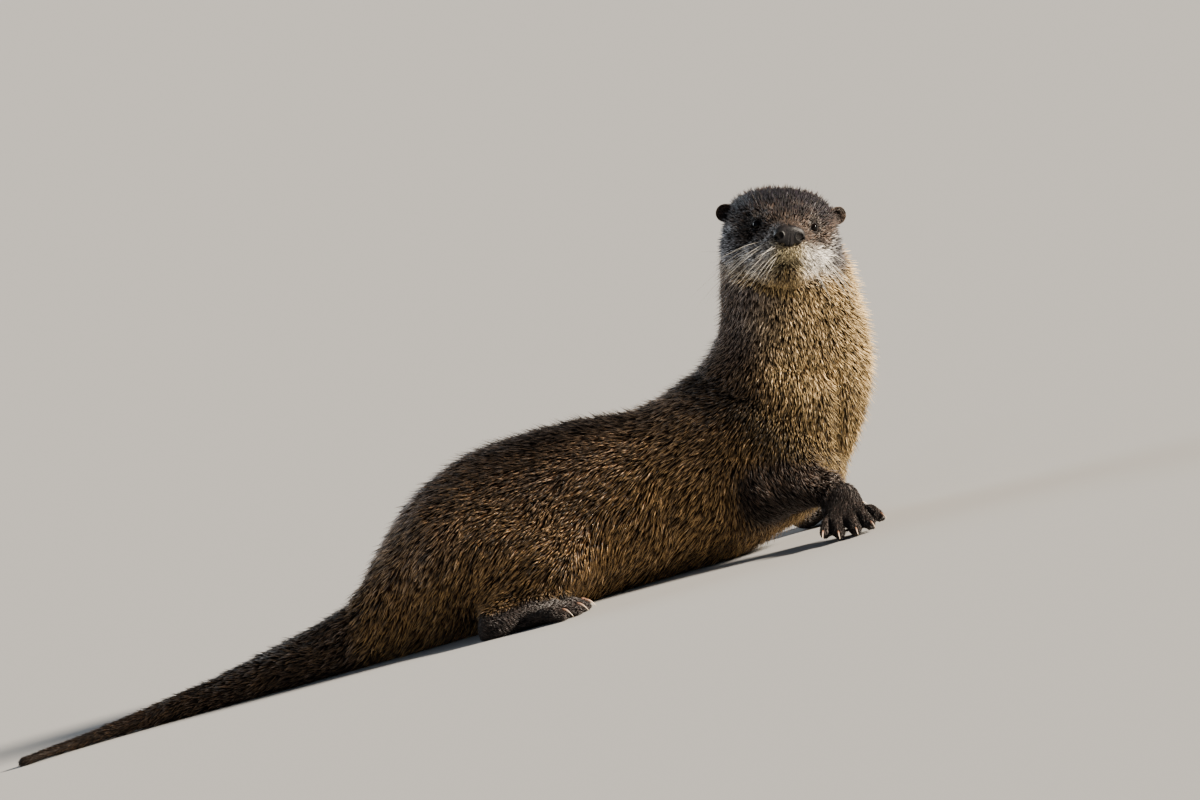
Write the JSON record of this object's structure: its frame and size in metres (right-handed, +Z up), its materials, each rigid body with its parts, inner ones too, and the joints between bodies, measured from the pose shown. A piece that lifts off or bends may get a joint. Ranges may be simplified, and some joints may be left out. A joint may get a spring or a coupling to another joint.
{
  "type": "river otter",
  "caption": "North American river otter, life-size still model lying on its belly with head and neck raised, looking to its right, tail trailing behind.",
  "frame": {"origin": "middle of the bottom of the bounding box, on the floor that the otter lies on", "axes": "+X from the tail towards the chest, -Y on the otter's right, the side that it looks to, +Z up"},
  "size_m": [0.8512, 0.3018, 0.3122],
  "materials": {
    "coat": "damp dark brown fur with paler tips",
    "throat_coat": "greyish golden fur",
    "paw": "short wet dark fur and bare pads",
    "nose": "grainy, damp, near black",
    "eye": "wet gloss, dark brown"
  },
  "bodies": {
    "root": {"head": "coat", "nose": "nose", "eye_right": "eye", "eye_left": "eye", "ear_right": "coat", "ear_left": "coat", "neck": "throat_coat", "chest": "throat_coat", "belly": "coat", "rump": "coat", "tail_1": "coat", "tail_2": "coat", "tail_3": "coat", "foreleg_right": "coat", "foreleg_left": "coat", "hindleg_right": "coat", "hindleg_left": "coat", "forefoot_right": "paw", "forefoot_left": "paw", "hindfoot_right": "paw", "hindfoot_left": "paw"}
  },
  "joints": []
}
